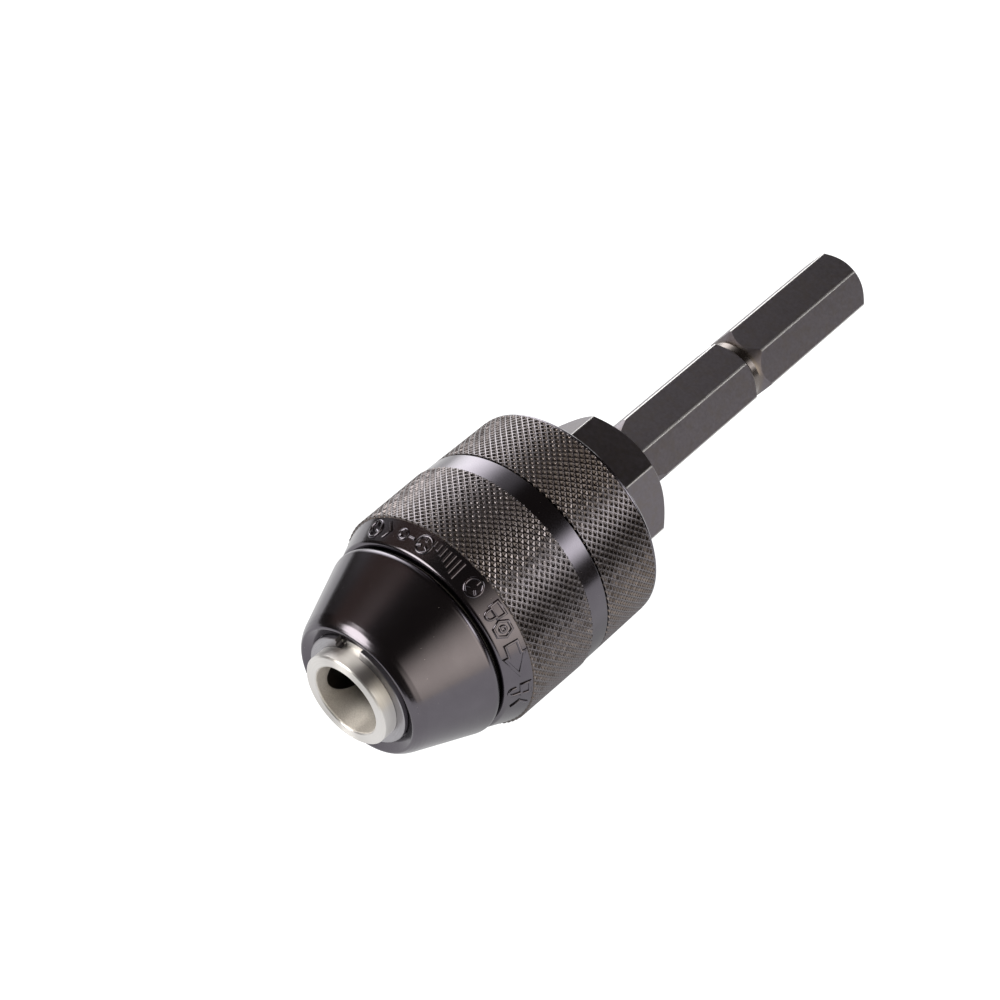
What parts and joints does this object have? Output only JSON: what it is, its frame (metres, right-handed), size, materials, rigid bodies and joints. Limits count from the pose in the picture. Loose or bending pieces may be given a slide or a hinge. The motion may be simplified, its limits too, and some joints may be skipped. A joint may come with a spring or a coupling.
{
  "type": "drill chuck",
  "caption": "Keyless drill chuck on a grooved hex shank: knurled sleeves, conical nose cap, open snap ring and three slanting jaws closed by a split nut on a ball thrust bearing.",
  "frame": {"origin": "centre of the nose face, on the spindle axis, at the mouth of the tool bore", "axes": "+Y along the spindle axis from the nose to the tail of the shank; +Z square to one flat of the hex shank"},
  "size_m": [0.0432, 0.1398, 0.0432],
  "materials": {
    "ground_steel": "turned and ground, fine circumferential marks",
    "gloss_black_steel": "polished blackened steel, glossy, knurled where gripped",
    "spring_steel": "oiled spring steel, satin",
    "bearing_steel": "polished",
    "bush_polymer": "moulded, matte",
    "seal_felt": "pressed felt",
    "black_oxide_steel": "black oxide on milled steel, satin, corners worn bright",
    "screw_steel": "blackened, satin",
    "nut_steel": "hardened, satin",
    "cage_brass": "stamped brass",
    "jaw_steel": "hardened and ground"
  },
  "bodies": {
    "core": {"chuck_body": "ground_steel", "nose_cap": "gloss_black_steel", "snap_ring": "spring_steel", "rear_sleeve": "gloss_black_steel", "thrust_race_rear": "bearing_steel", "guide_ring": "bush_polymer", "dust_seal": "seal_felt", "wave_washer": "spring_steel", "shank_adapter": "black_oxide_steel", "retaining_screw": "screw_steel"},
    "sleeve": {"front_sleeve": "gloss_black_steel", "nut_ring": "nut_steel", "nut_half_a": "nut_steel", "nut_half_b": "nut_steel", "thrust_race_front": "bearing_steel"},
    "cage": {"ball_cage": "cage_brass", "thrust_balls": "bearing_steel"},
    "jaw_1": {"jaw_1": "jaw_steel"},
    "jaw_2": {"jaw_2": "jaw_steel"},
    "jaw_3": {"jaw_3": "jaw_steel"}
  },
  "joints": [
    {"name": "sleeve_turn", "type": "hinge", "parent": "core", "child": "sleeve", "pos_m": [0, 0.0258, 0], "axis": [0, 1, 0], "range_deg": [0, 4080]},
    {"name": "cage_turn", "type": "hinge", "parent": "core", "child": "cage", "pos_m": [0, 0.03285, 0], "axis": [0, 1, 0], "range_deg": [0, 2045]},
    {"name": "jaw_1_slide", "type": "slide", "parent": "core", "child": "jaw_1", "axis": [-0.0226, -0.9659, -0.2578], "range_m": [0, 0.0227]},
    {"name": "jaw_2_slide", "type": "slide", "parent": "core", "child": "jaw_2", "axis": [0.2346, -0.9659, 0.1094], "range_m": [0, 0.0227]},
    {"name": "jaw_3_slide", "type": "slide", "parent": "core", "child": "jaw_3", "axis": [-0.212, -0.9659, 0.1485], "range_m": [0, 0.0227]}
  ],
  "couplings": [
    {"joint": "cage_turn", "follows": "sleeve_turn", "ratio": 0.5},
    {"joint": "jaw_1_slide", "follows": "sleeve_turn", "m_per_rad": 0.00031831},
    {"joint": "jaw_2_slide", "follows": "sleeve_turn", "m_per_rad": 0.00031831},
    {"joint": "jaw_3_slide", "follows": "sleeve_turn", "m_per_rad": 0.00031831}
  ]
}
